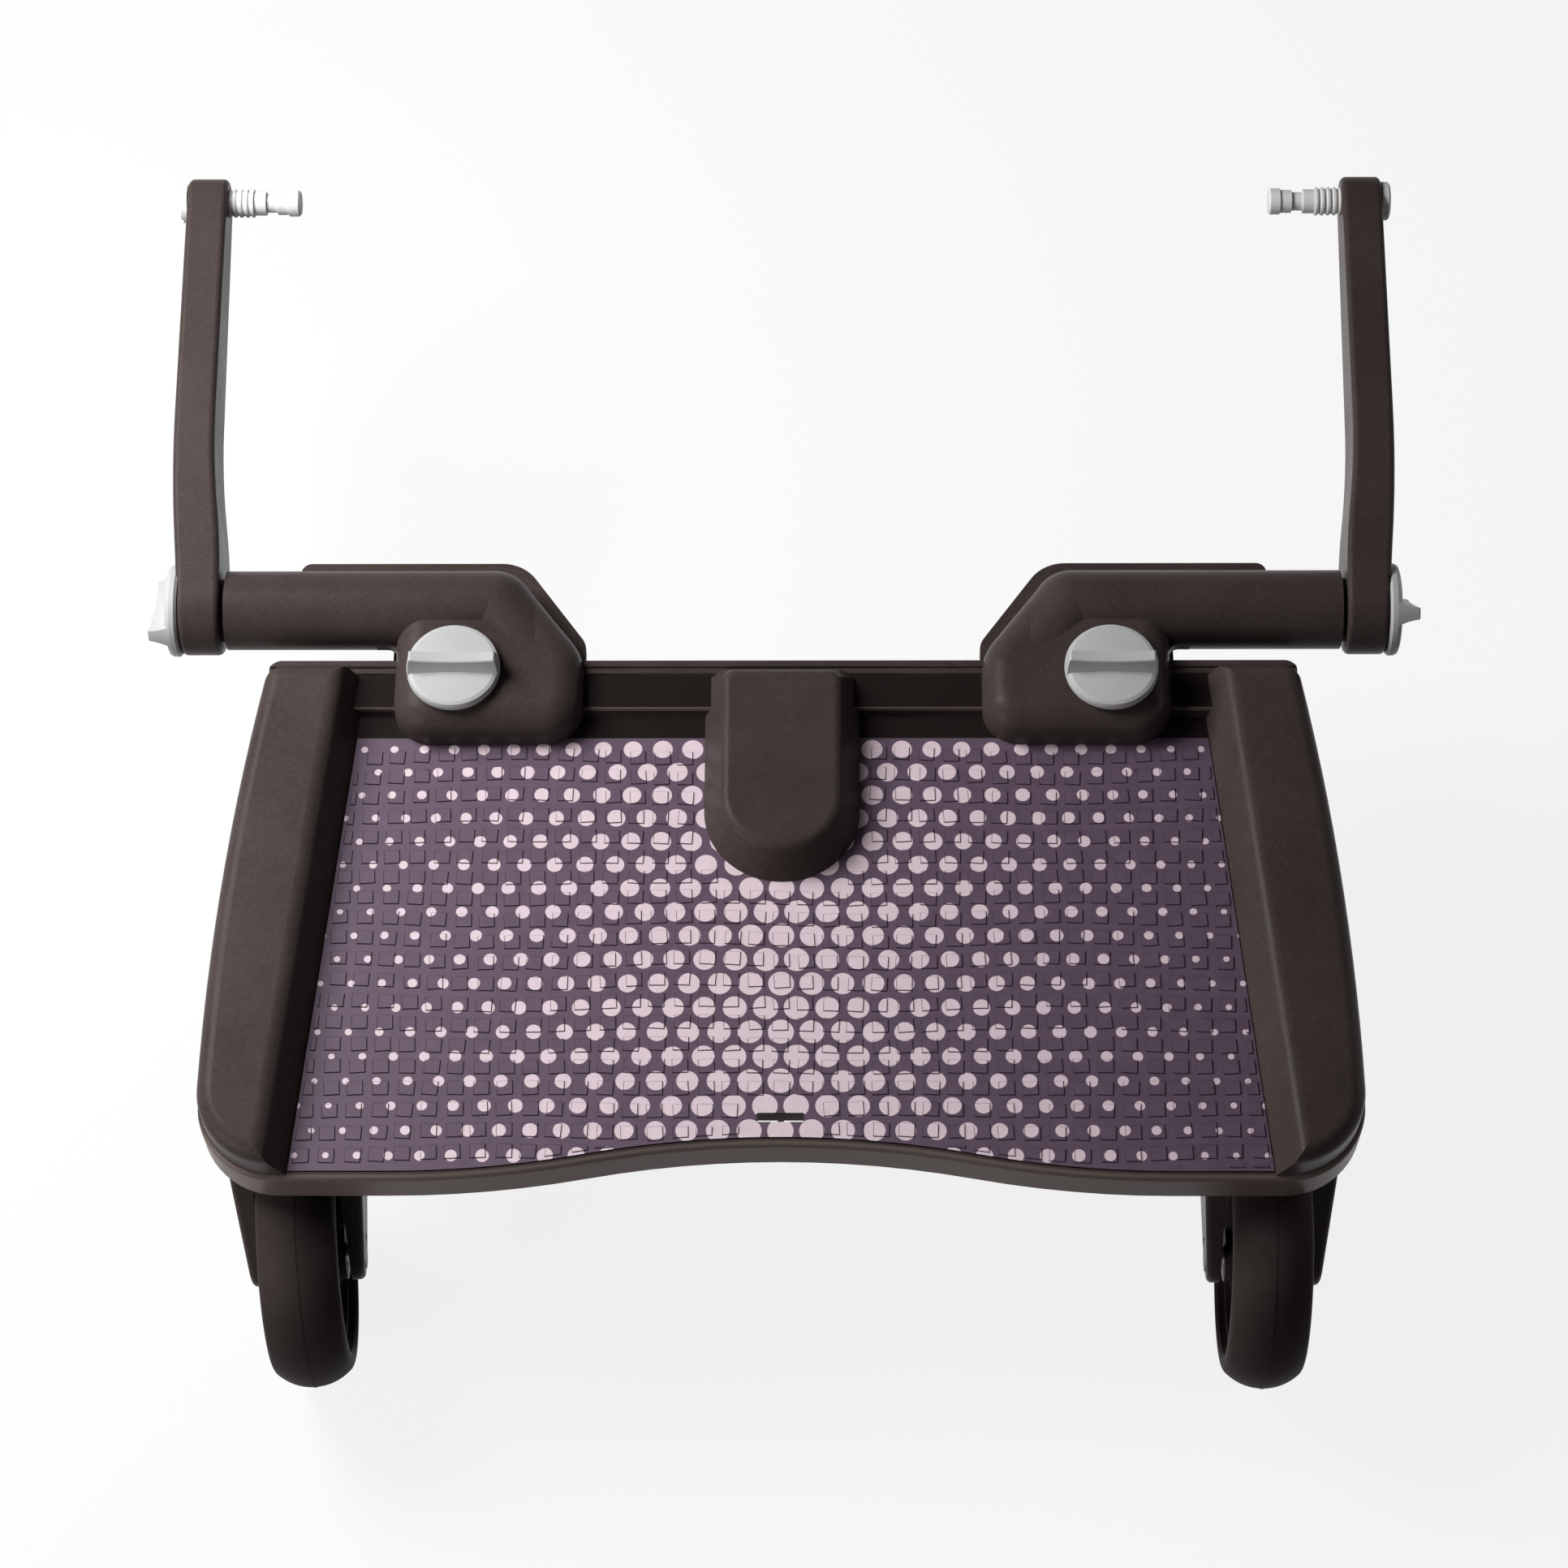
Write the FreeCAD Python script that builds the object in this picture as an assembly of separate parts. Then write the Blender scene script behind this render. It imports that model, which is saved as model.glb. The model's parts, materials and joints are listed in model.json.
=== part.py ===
# Ride-on buggy board: a moulded deck on two castors, with two clamped arms that hook onto a pushchair.
# Millimetres. +X is to the child's right, +Y points at the pushchair, +Z is up, and the floor is z = 0.
import FreeCAD, Part
import math
import os

# Deck, seen from above: y = 0 is a line across the middle of the board
deck_width = 420.0
deck_side_radius = 1010.0
deck_widest_y = -75.0
deck_front_y = 104.0
deck_rear_y = -103.0
rear_corner_radius = 30.0
front_corner_radius = 7.0
scoop_half_width = 140.0
scoop_depth = 13.0
deck_rim_height = 16.5
deck_wall = 3.0
deck_plate = 4.5
deck_edge_round = 2.5
rib_thickness = 2.2
rib_spacing_x = 48.0
rib_spacing_y = 42.0
rib_inset = 1.5

# Front rail of the deck, on which the arm holders slide
rail_depth = 21.0
rail_rear_slope = 1.5
rail_land_height = 4.5
rail_strip_width = 5.5
rail_strip_height = 5.5
rail_groove = 1.0
rail_lip_width = 3.0
rail_lip_height = 6.5
rail_lip_overhang = 4.0
rail_lip_thickness = 4.0
rail_edge_round = 0.7
slide_clearance = 0.3

# Standing mat
mat_thickness = 3.0
mat_proud = 0.5
mat_margin = 3.0
mat_gap = 0.3
mat_front_setback = 30.3
strap_slot_length = 17.5
strap_slot_width = 3.5
strap_slot_inset = 10.5
strap_slot_corner = 1.0
vent_radius = 1.0
vent_side_inset = 28.3
vent_inset = 14.0

# Side covers
cover_front_width = 37.0
cover_rear_width = 33.5
cover_ledge = 1.5
cover_height = 16.5
cover_inner_draft = 8.0
cover_wall = 2.5
cover_round = 6.0
cover_front_gap = 5.9

# Centre cover
tongue_half_width = 29.0
tongue_length = 88.4
tongue_front_gap = 1.7
tongue_height = 15.0
tongue_draft = 7.5
tongue_wall = 2.5
tongue_round = 4.0
tongue_corner = 3.0

# Screws
screw_radius = 2.0
screw_head_radius = 4.0
screw_head_height = 2.4
screw_bite = 9.0
screw_boss_radius = 4.5
screw_tip_gap = 1.0
fixed_clearance = 0.02

# Arm holders: the right-hand one, mirrored for the left
holder_width = 71.0
holder_side_gap = 11.0
holder_rear_overhang = 2.7
holder_height = 16.0
holder_round = 11.0
holder_inner_corner = 14.0
holder_bend_radius = 22.0
holder_slant_rise = 36.0
holder_slant_run = 27.0
holder_web_corner = 4.0
holder_pipe_length = 30.0
holder_pipe_drop = 5.0
tube_radius = 15.0
tube_gap_y = 7.0
tube_axis_rise = 5.0
tube_overhang = 1.2
tube_bore_radius = 9.0
flange_reach = 10.7
flange_thickness = 6.0
flange_setback = 25.6
flange_corner = 4.0
flange_bend_radius = 16.0
flange_slant_drop = 24.5
flange_slant_run = 25.0
jaw_thickness = 6.0
jaw_half_length = 26.0
jaw_depth = 22.0
jaw_screw_spacing = 36.0
jaw_round = 1.5

# Wing knobs and their studs
knob_radius = 17.5
knob_thickness = 4.6
knob_dome = 1.0
knob_brow = 1.8
knob_edge = 1.0
knob_cap = 1.5
knob_gap = 0.4
knob_seat_inset = 1.0
knob_seat_gap = 0.6
wing_height = 7.0
wing_base_width = 9.5
wing_top_width = 4.4
wing_hollow = 0.5
wing_dip = 1.2
wing_end_draft = 1.5
wing_round = 0.8
stud_radius = 4.0
stud_clearance = 0.05
rail_knob_inset = 23.0
rail_knob_forward = 3.0
pad_radius = 4.0
pad_thickness = 2.5
insert_radius = 7.0
insert_length = 7.5

# Extension arms
arm_length = 169.5
arm_pitch = 10.0
arm_pivot_radius = 17.0
arm_tip_radius = 9.5
arm_thickness = 15.6
arm_pivot_thickness = 15.4
arm_jog = 5.0
arm_jog_start = 0.0
arm_jog_end = 78.0
arm_swell_start = -30.0
arm_edge_round = 2.2
washer_thickness = 1.6
washer_radius = 12.0
pivot_nut_length = 14.0
pivot_nut_depth = 10.0
stud_run_out = 6.0
left_knob_turn = -24.0
right_knob_turn = 125.0

# Connector pins at the arm tips
pin_shank_radius = 5.5
pin_shank_length = 9.5
pin_ridge_depth = 0.6
pin_ridge_count = 4
pin_collar_radius = 4.7
pin_collar_length = 4.7
pin_neck_radius = 3.6
pin_neck_length = 4.5
pin_head_radius = 4.5
pin_head_length = 4.5
pin_rim_radius = 5.1
pin_rim_length = 4.5
pin_cap_radius = 7.5
pin_cap_thickness = 3.2
pin_edge = 0.8
pin_slot_width = 1.8
pin_slot_depth = 1.4

# Castors
wheel_radius = 49.0
mat_over_wheel = 21.0
castor_inset = 31.0
stem_inset = 35.0
stem_within_wheel = 11.0
tyre_width = 29.0
tyre_depth = 12.0
tyre_crown_radius = 19.0
tyre_seam_width = 1.0
tyre_seam_height = 0.15
tyre_shoulder_width = 2.0
tyre_shoulder_drop = 4.0
tyre_bead = 1.0
hub_rim_thickness = 3.5
hub_rim_width = 22.0
hub_web = 4.0
hub_boss_radius = 10.0
hub_rib_count = 6
hub_rib_thickness = 2.5
hub_rib_inset = 2.0
fork_side_gap = 1.5
fork_leg = 5.5
fork_flare = 3.2
fork_wheel_gap = 3.5
fork_crown_radius = 19.0
fork_boss_radius = 10.5
fork_crown_set_back = 4.0
fork_edge_round = 2.0
axle_radius = 4.0
axle_clearance = 0.05
axle_cap_radius = 6.5
axle_cap_height = 1.6
stem_radius = 6.0
stem_sink = 8.0
bush_wall = 3.0
bush_flange = 3.5
bush_flange_height = 2.0
socket_wall = 4.0
socket_drop = 3.0
socket_skin = 1.8
swivel_gap = 0.3
stem_ring_height = 1.5
stem_ring_reach = 1.0
stem_ring_groove = 1.0
stem_tip = 3.0
left_castor_turn = 4.5
right_castor_turn = -1.5

# How far cutting shapes reach past a face, and how near two heights count as one
cut_past = 1.0
hair = 0.01


def deck_half_width(y):
    """Half the deck's width at a place along Y: its sides are bowed."""
    bow = math.sqrt(deck_side_radius ** 2 - (y - deck_widest_y) ** 2)
    return deck_width / 2 - deck_side_radius + bow


# Heights and places that follow from the sizes above
mat_top = 2 * wheel_radius + mat_over_wheel
deck_top = mat_top - mat_proud
deck_bottom = deck_top - deck_rim_height
mat_bottom = mat_top - mat_thickness
plate_bottom = mat_bottom - deck_plate
rail_rear_y = deck_front_y - rail_depth
lip_under_z = deck_top + rail_lip_height - rail_lip_thickness
wall_front_y = deck_front_y - rail_lip_overhang
mat_front_y = deck_front_y - mat_front_setback
holder_rear_y = mat_front_y - holder_rear_overhang
holder_top = mat_top + holder_height
tube_y = deck_front_y + tube_gap_y + tube_radius
tube_z = mat_top + tube_axis_rise
holder_bottom = tube_z - tube_radius
holder_far_y = tube_y + tube_radius
rail_land_z = deck_top + rail_land_height
land_front_y = deck_front_y - rail_strip_width - rail_groove
holder_outer_x = deck_half_width(deck_front_y) - cover_front_width - holder_side_gap
holder_inner_x = holder_outer_x - holder_width
rail_knob_x = holder_outer_x - rail_knob_inset
rail_knob_y = (rail_rear_y + rail_rear_slope + land_front_y) / 2 + rail_knob_forward
tube_end_x = deck_width / 2 + tube_overhang
flange_end_x = tube_end_x - flange_setback
stud_end_x = tube_end_x - pivot_nut_depth - pivot_nut_length
arm_inner_x = tube_end_x + washer_thickness
arm_outer_x = arm_inner_x + arm_pivot_thickness
tip_inner_x = arm_inner_x + arm_jog
tip_outer_x = tip_inner_x + arm_thickness
tip_y = tube_y + arm_length * math.cos(math.radians(arm_pitch))
castor_x = deck_width / 2 - castor_inset
stem_y = deck_rear_y + stem_inset
axle_y = stem_y - wheel_radius + stem_within_wheel
axle_z = wheel_radius
socket_bottom = deck_bottom - socket_drop
fork_top = socket_bottom - bush_flange_height - swivel_gap
bush_radius = stem_radius + stud_clearance + bush_wall
bush_top = mat_bottom - socket_skin
stem_top = bush_top - bush_wall / 2 - swivel_gap
ring_low = stem_top - stem_tip - stem_ring_height
fork_half_width = tyre_width / 2 + fork_side_gap + fork_leg
frame_shift_y = -(tip_y + arm_tip_radius + axle_y - wheel_radius) / 2


def point(x, y, z):
    return FreeCAD.Vector(x, y, z)


def box(low, high):
    size = high - low
    return Part.makeBox(size.x, size.y, size.z, low)


def cylinder_x(radius, x0, x1, y, z):
    return Part.makeCylinder(radius, x1 - x0, point(x0, y, z), point(1, 0, 0))


def cylinder_z(radius, x, y, z0, z1):
    return Part.makeCylinder(radius, z1 - z0, point(x, y, z0), point(0, 0, 1))


def rounded_wire(corners, place):
    """Closed wire through 2-D corners (a, b, radius), each corner rounded; place maps (a, b) to a point."""
    edges = []
    ends = []
    count = len(corners)
    for index, (a, b, radius) in enumerate(corners):
        corner = point(a, b, 0)
        before = point(*corners[index - 1][:2], 0) - corner
        after = point(*corners[(index + 1) % count][:2], 0) - corner
        before.normalize()
        after.normalize()
        half = before.getAngle(after) / 2
        reach = radius / math.tan(half)
        bisector = before + after
        bisector.normalize()
        middle = corner + bisector * (radius / math.sin(half) - radius)
        ends.append((corner + before * reach, middle, corner + after * reach, radius))
    for index, (start, middle, end, radius) in enumerate(ends):
        if radius > 0:
            edges.append(Part.Arc(place(start), place(middle), place(end)).toShape())
        following = ends[(index + 1) % count][0]
        if (following - end).Length > 1e-6:
            edges.append(Part.LineSegment(place(end), place(following)).toShape())
    return Part.Wire(edges)


def plan_prism(corners, z0, z1):
    wire = rounded_wire(corners, lambda p: point(p.x, p.y, z0))
    return Part.Face(wire).extrude(point(0, 0, z1 - z0))


def plan_loft(low_corners, z0, high_corners, z1):
    low = rounded_wire(low_corners, lambda p: point(p.x, p.y, z0))
    high = rounded_wire(high_corners, lambda p: point(p.x, p.y, z1))
    return Part.makeLoft([low, high], True, True)


def side_prism(corners, x0, x1):
    """Outline in the Y-Z plane, pulled along X."""
    wire = rounded_wire(corners, lambda p: point(x0, p.x, p.y))
    return Part.Face(wire).extrude(point(x1 - x0, 0, 0))


def revolved(profile, base, axis, out):
    """Solid of revolution of a closed polygon of (along, radius) pairs."""
    points = [base + axis * along + out * radius for along, radius in profile]
    face = Part.Face(Part.makePolygon(points + points[:1]))
    return face.revolve(base, axis, 360)


def link_outline(centre_a, radius_a, centre_b, radius_b, place):
    """Face round two circles and their outer tangents."""
    along = centre_b - centre_a
    tilt = math.acos((radius_a - radius_b) / along.Length)
    heading = math.atan2(along.y, along.x)

    def rim(centre, radius, angle):
        return place(centre + point(math.cos(angle), math.sin(angle), 0) * radius)

    left_a = rim(centre_a, radius_a, heading + tilt)
    left_b = rim(centre_b, radius_b, heading + tilt)
    right_a = rim(centre_a, radius_a, heading - tilt)
    right_b = rim(centre_b, radius_b, heading - tilt)
    edges = [
        Part.Arc(left_a, rim(centre_a, radius_a, heading + math.pi), right_a).toShape(),
        Part.LineSegment(right_a, right_b).toShape(),
        Part.Arc(right_b, rim(centre_b, radius_b, heading), left_b).toShape(),
        Part.LineSegment(left_b, left_a).toShape(),
    ]
    return Part.Face(Part.Wire(edges))


def easing_arcs(start, end, place):
    """Two tangent arcs from start to end that leave and arrive along the first axis."""
    run = (end.x - start.x) / 2
    rise = (end.y - start.y) / 2
    radius = (run * run + rise * rise) / (2 * rise)
    half = math.asin(run / radius) / 2
    middle = point(start.x + run, start.y + rise, 0)
    offset = point(radius * math.sin(half), radius * (1 - math.cos(half)), 0)
    first = Part.Arc(place(start), place(start + offset), place(middle))
    second = Part.Arc(place(middle), place(end - offset), place(end))
    return [first.toShape(), second.toShape()]


def round_edges(shape, radius, wanted):
    return shape.makeFillet(radius, [edge for edge in shape.Edges if wanted(edge)])


def mirrored(shape):
    return shape.mirror(point(0, 0, 0), point(1, 0, 0))


def flat_at(z):
    return lambda edge: edge.BoundBox.ZMin > z - hair and edge.BoundBox.ZMax < z + hair


def upright(edge):
    return edge.BoundBox.XLength < hair and edge.BoundBox.YLength < hair


# Deck outline: bowed sides, a scooped rear edge and a straight front edge
def deck_side(sign, inset, y0, y1, z):
    def on_side(y):
        return point(sign * (deck_half_width(y) - inset), y, z)

    return Part.Arc(on_side(y0), on_side((y0 + y1) / 2), on_side(y1)).toShape()


def deck_block(z0, z1):
    def place(p):
        return point(p.x, p.y, z0)

    front = deck_half_width(deck_front_y)
    rear = deck_half_width(deck_rear_y)
    rear_mid = point(0, deck_rear_y + scoop_depth, 0)
    left_foot = point(-scoop_half_width, deck_rear_y, 0)
    right_foot = point(scoop_half_width, deck_rear_y, 0)
    edges = [
        Part.LineSegment(point(-front, deck_front_y, z0), point(front, deck_front_y, z0)).toShape(),
        deck_side(1, 0, deck_front_y, deck_rear_y, z0),
        Part.LineSegment(point(rear, deck_rear_y, z0), place(right_foot)).toShape(),
        *reversed(easing_arcs(rear_mid, right_foot, place)),
        *reversed(easing_arcs(left_foot, rear_mid, place)),
        Part.LineSegment(place(left_foot), point(-rear, deck_rear_y, z0)).toShape(),
        deck_side(-1, 0, deck_rear_y, deck_front_y, z0),
    ]
    block = Part.Face(Part.Wire(Part.__sortEdges__(edges))).extrude(point(0, 0, z1 - z0))

    def corner_at(x, y):
        def wanted(edge):
            return upright(edge) and math.hypot(abs(edge.BoundBox.XMin) - x, edge.BoundBox.YMin - y) < hair

        return wanted

    block = round_edges(block, rear_corner_radius, corner_at(rear, deck_rear_y))
    return round_edges(block, front_corner_radius, corner_at(front, deck_front_y))


def deck_inset(inset, z0, z1):
    """The deck's outline drawn in by an even margin and pulled up from z0 to z1."""
    block = deck_block(z0, z1)
    floor = min(block.Faces, key=lambda face: face.CenterOfMass.z)
    return Part.Face(floor.OuterWire.makeOffset2D(-inset)).extrude(point(0, 0, z1 - z0))


def rail_section(clearance):
    """Corners (y, z) of the front rail's section, grown by a clearance."""
    land = rail_land_z + clearance
    strip = deck_top + rail_strip_height + clearance
    lip = deck_top + rail_lip_height + clearance
    strip_y = deck_front_y - rail_strip_width - clearance
    lip_y = deck_front_y - rail_lip_width - clearance
    front = deck_front_y + clearance
    rear = rail_rear_y - clearance
    return [
        (rear, deck_bottom, 0), (rear, deck_top, 0), (rear + rail_rear_slope, land, rail_edge_round),
        (strip_y, land, 0), (strip_y, strip, rail_edge_round), (lip_y, strip, 0),
        (lip_y, lip, rail_edge_round), (front, lip, rail_edge_round), (front, deck_bottom, 0),
    ]


def rail_envelope(clearance):
    half = deck_half_width(deck_front_y)
    return side_prism(rail_section(clearance), -half, half)


def cover_screw_places():
    """Where the side covers and the centre cover are screwed up through the deck plate."""
    rear_y = stem_y + bush_radius + socket_wall + 3 * screw_boss_radius
    front_y = rail_rear_y - 2 * screw_boss_radius
    places = []
    for y in (rear_y, (rear_y + front_y) / 2, front_y):
        x = deck_half_width(y) - cover_front_width / 2
        places += [(x, y), (-x, y)]
    nose_y = deck_front_y - tongue_length + tongue_half_width
    return places, [(0, nose_y), (0, (nose_y + rail_rear_y) / 2 + screw_boss_radius)]


def mat_inner_edge(y):
    """Half width of the mat, where the side covers' inner walls stand."""
    front_x = deck_half_width(deck_front_y) - cover_front_width
    rear_x = deck_half_width(deck_rear_y) - cover_rear_width
    share = (y - deck_rear_y) / (deck_front_y - deck_rear_y)
    return rear_x + (front_x - rear_x) * share


def mat_form(gap, z0, z1):
    front = mat_front_y + gap
    rear = deck_rear_y
    corners = [
        (-mat_inner_edge(front) - gap, front, 0), (mat_inner_edge(front) + gap, front, 0),
        (mat_inner_edge(rear) + gap, rear, 0), (-mat_inner_edge(rear) - gap, rear, 0),
    ]
    return plan_prism(corners, z0, z1).common(deck_inset(mat_margin - gap, z0, z1))


def slot_form(length, width, z0, z1):
    y = deck_rear_y + scoop_depth + strap_slot_inset
    half = length / 2
    signs = ((-1, -1), (1, -1), (1, 1), (-1, 1))
    return plan_prism([(sx * half, y + sy * width / 2, strap_slot_corner) for sx, sy in signs], z0, z1)


def vents(z0, z1):
    y = mat_front_y - vent_inset
    x = mat_inner_edge(y) - vent_side_inset
    return [cylinder_z(vent_radius, sign * x, y, z0, z1) for sign in (-1, 1)]


def deck_shell():
    body = round_edges(deck_block(deck_bottom, deck_top), deck_edge_round, flat_at(deck_top))
    hollow = deck_inset(deck_wall + rail_lip_overhang, deck_bottom - cut_past, plate_bottom)
    ribs = []
    rib_low = deck_bottom + rib_inset
    for step in range(-3, 4):
        x = step * rib_spacing_x
        ribs.append(box(point(x - rib_thickness / 2, deck_rear_y, rib_low),
                        point(x + rib_thickness / 2, deck_front_y, plate_bottom)))
    for step in range(-1, 3):
        y = step * rib_spacing_y - rib_spacing_y / 2
        ribs.append(box(point(-deck_width / 2, y - rib_thickness / 2, rib_low),
                        point(deck_width / 2, y + rib_thickness / 2, plate_bottom)))
    hollow = hollow.cut(Part.makeCompound(ribs))
    sockets = [cylinder_z(bush_radius + socket_wall, sign * castor_x, stem_y, socket_bottom, deck_top)
               for sign in (-1, 1)]
    sides, middle = cover_screw_places()
    bosses = [cylinder_z(screw_boss_radius, x, y, rib_low, plate_bottom) for x, y in sides + middle]
    body = body.cut(hollow).fuse(sockets + bosses)
    front_rail = rail_envelope(0).common(deck_block(deck_bottom, deck_top + rail_lip_height))
    body = body.fuse(front_rail)
    under_lip = box(point(-deck_width / 2, wall_front_y, deck_bottom - cut_past),
                    point(deck_width / 2, deck_front_y + cut_past, lip_under_z))
    cuts = [under_lip, mat_form(mat_gap, mat_bottom, deck_top + cut_past)]
    cuts.append(slot_form(strap_slot_length, strap_slot_width, deck_bottom, mat_top))
    cuts += vents(deck_bottom, mat_top)
    low = socket_bottom - cut_past
    for sign in (-1, 1):
        cuts.append(cylinder_z(bush_radius + fixed_clearance, sign * castor_x, stem_y, low, bush_top))
    for x, y in sides + middle:
        cuts.append(cylinder_z(screw_radius + fixed_clearance, x, y, low, deck_top + cut_past))
        cuts.append(cylinder_z(screw_head_radius + mat_gap, x, y, low, plate_bottom))
    return body.cut(cuts).removeSplitter()


def standing_mat():
    mat = mat_form(0, mat_bottom, mat_top)
    low = mat_bottom - cut_past
    high = mat_top + cut_past
    holes = vents(low, high)
    holes.append(slot_form(strap_slot_length, strap_slot_width, low, high))
    _, middle = cover_screw_places()
    holes += [cylinder_z(screw_radius + fixed_clearance, x, y, low, high) for x, y in middle]
    return mat.cut(holes)


def screw_hole(x, y, mouth):
    """Blind hole for a screw that comes up through the mouth's height."""
    return cylinder_z(screw_radius + fixed_clearance, x, y, mouth - cut_past, mouth + screw_bite)


# Side covers
def cover_form(wall):
    """Bowed outside, straight ends, and an inner wall that leans outwards; drawn in by a wall."""
    low = deck_top if wall == 0 else deck_top - cut_past
    high = deck_top + cover_height - wall
    front = deck_front_y - cover_front_gap - wall
    rear = deck_rear_y + cover_ledge + wall
    outer = deck_side(1, cover_ledge + wall, front, rear, low)
    front_in = point(mat_inner_edge(front) + mat_gap + wall, front, low)
    rear_in = point(mat_inner_edge(rear) + mat_gap + wall, rear, low)
    corners = [outer.Vertexes[1].Point, rear_in, front_in, outer.Vertexes[0].Point]
    edges = [outer]
    edges += [Part.LineSegment(start, end).toShape() for start, end in zip(corners, corners[1:])]
    form = Part.Face(Part.Wire(edges)).extrude(point(0, 0, high - low))

    def outer_corner(y):
        middle_x = deck_half_width(y) - cover_front_width / 2

        def wanted(edge):
            return upright(edge) and edge.BoundBox.XMin > middle_x and abs(edge.BoundBox.YMin - y) < hair

        return wanted

    form = round_edges(form, rear_corner_radius - cover_ledge - wall, outer_corner(rear))
    form = round_edges(form, front_corner_radius - wall, outer_corner(front))
    lean = point(cover_inner_draft, 0, 0)
    rise = point(0, 0, high - low)
    past = front_in - rear_in
    foot = [front_in + past, rear_in - past, rear_in - past - point(deck_width, 0, 0),
            front_in + past - point(deck_width, 0, 0)]
    head = [foot[0] + lean + rise, foot[1] + lean + rise, foot[2] + rise, foot[3] + rise]
    wedge = Part.makeLoft([Part.makePolygon(quad + quad[:1]) for quad in (foot, head)], True, True)
    return round_edges(form.cut(wedge), cover_round - wall, flat_at(high))


def side_cover():
    shell = cover_form(0).cut(cover_form(cover_wall))
    top = deck_top + cover_height - cover_wall
    sides, _ = cover_screw_places()
    for x, y in sides:
        if x > 0:
            shell = shell.fuse(cylinder_z(screw_boss_radius, x, y, deck_top, top))
            shell = shell.cut(screw_hole(x, y, deck_top))
    return shell.cut(rail_envelope(mat_gap))


# Centre cover over the front rail
def tongue_outline(inset):
    half = tongue_half_width - inset
    front = deck_front_y - tongue_front_gap - inset
    nose = deck_front_y - tongue_front_gap - tongue_length + inset
    side = half - tongue_corner
    corner_y = front - tongue_corner
    return [
        (half, corner_y, 0), (side, front, 0), (-side, front, 0), (-half, corner_y, 0),
        (-half, nose, half - hair), (half, nose, half - hair),
    ]


def tongue_form(wall):
    low = mat_top if wall == 0 else mat_top - hair
    high = mat_top + tongue_height - wall
    form = plan_loft(tongue_outline(wall), low, tongue_outline(wall + tongue_draft), high)
    return round_edges(form, tongue_round - wall, flat_at(high))


def centre_cover():
    shell = tongue_form(0).cut(tongue_form(tongue_wall))
    top = mat_top + tongue_height - tongue_wall
    _, middle = cover_screw_places()
    for x, y in middle:
        shell = shell.fuse(cylinder_z(screw_boss_radius, x, y, mat_top, top))
        shell = shell.cut(screw_hole(x, y, mat_top))
    return shell.cut(rail_envelope(mat_gap))


def screw(x, y, seat, reach):
    """Pan-head screw that points up, its head below the seat."""
    shank = cylinder_z(screw_radius, x, y, seat - screw_head_height / 2, seat + reach)
    return shank.fuse(cylinder_z(screw_head_radius, x, y, seat - screw_head_height, seat))


def deck_screws():
    sides, middle = cover_screw_places()
    reach = deck_top - plate_bottom + screw_bite - screw_tip_gap
    screws = [screw(x, y, plate_bottom, reach) for x, y in sides]
    screws += [screw(x, y, plate_bottom, reach + mat_proud) for x, y in middle]
    return Part.makeCompound(screws)


# Arm holders
def holder_outline():
    far = holder_far_y
    slant_x = holder_inner_x + holder_slant_run
    slant_y = far - holder_slant_rise
    return [
        (holder_inner_x, holder_rear_y, holder_inner_corner), (holder_inner_x, slant_y, holder_bend_radius),
        (slant_x, far, holder_bend_radius), (holder_outer_x, far, holder_inner_corner),
        (holder_outer_x, holder_rear_y, holder_inner_corner),
    ]


def tube_web():
    """Rounded inner corner between the housing's outer side and the near side of the tube."""
    near = tube_y - tube_radius
    arm = 2 * holder_web_corner
    x0 = holder_outer_x - holder_web_corner
    x1 = holder_outer_x + arm
    corners = [
        (x0, near - arm, 0), (holder_outer_x, near - arm, 0), (holder_outer_x, near, holder_web_corner),
        (x1, near, 0), (x1, tube_y, 0), (x0, tube_y, 0),
    ]
    return plan_prism(corners, tube_z - holder_web_corner, tube_z)


def flange_outline():
    far = holder_far_y + flange_reach
    slant_x = holder_inner_x + flange_slant_run
    slant_y = holder_far_y - flange_slant_drop
    near = deck_front_y - holder_bend_radius
    return [
        (holder_inner_x, near, 0), (holder_inner_x, slant_y, flange_bend_radius / 2),
        (slant_x, far, flange_bend_radius), (flange_end_x, far, flange_corner), (flange_end_x, tube_y, 0),
        (holder_outer_x, tube_y, 0), (holder_outer_x, near, 0),
    ]


def bent_tube():
    """Cross tube that bends inside the slanted edge and sinks into the housing along it."""
    slant = point(holder_slant_run, holder_slant_rise, 0)
    slant.normalize()
    inward = tube_radius * (slant.y - (1 - slant.x) * slant.x / slant.y)
    bend = point(holder_inner_x + holder_slant_run + inward, tube_y, tube_z)
    run = slant * -holder_pipe_length - point(0, 0, holder_pipe_drop)
    return [
        cylinder_x(tube_radius, bend.x, tube_end_x, tube_y, tube_z),
        Part.makeSphere(tube_radius, bend),
        Part.makeCylinder(tube_radius, run.Length, bend, run),
        Part.makeSphere(tube_radius, bend + run),
    ]


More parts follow.
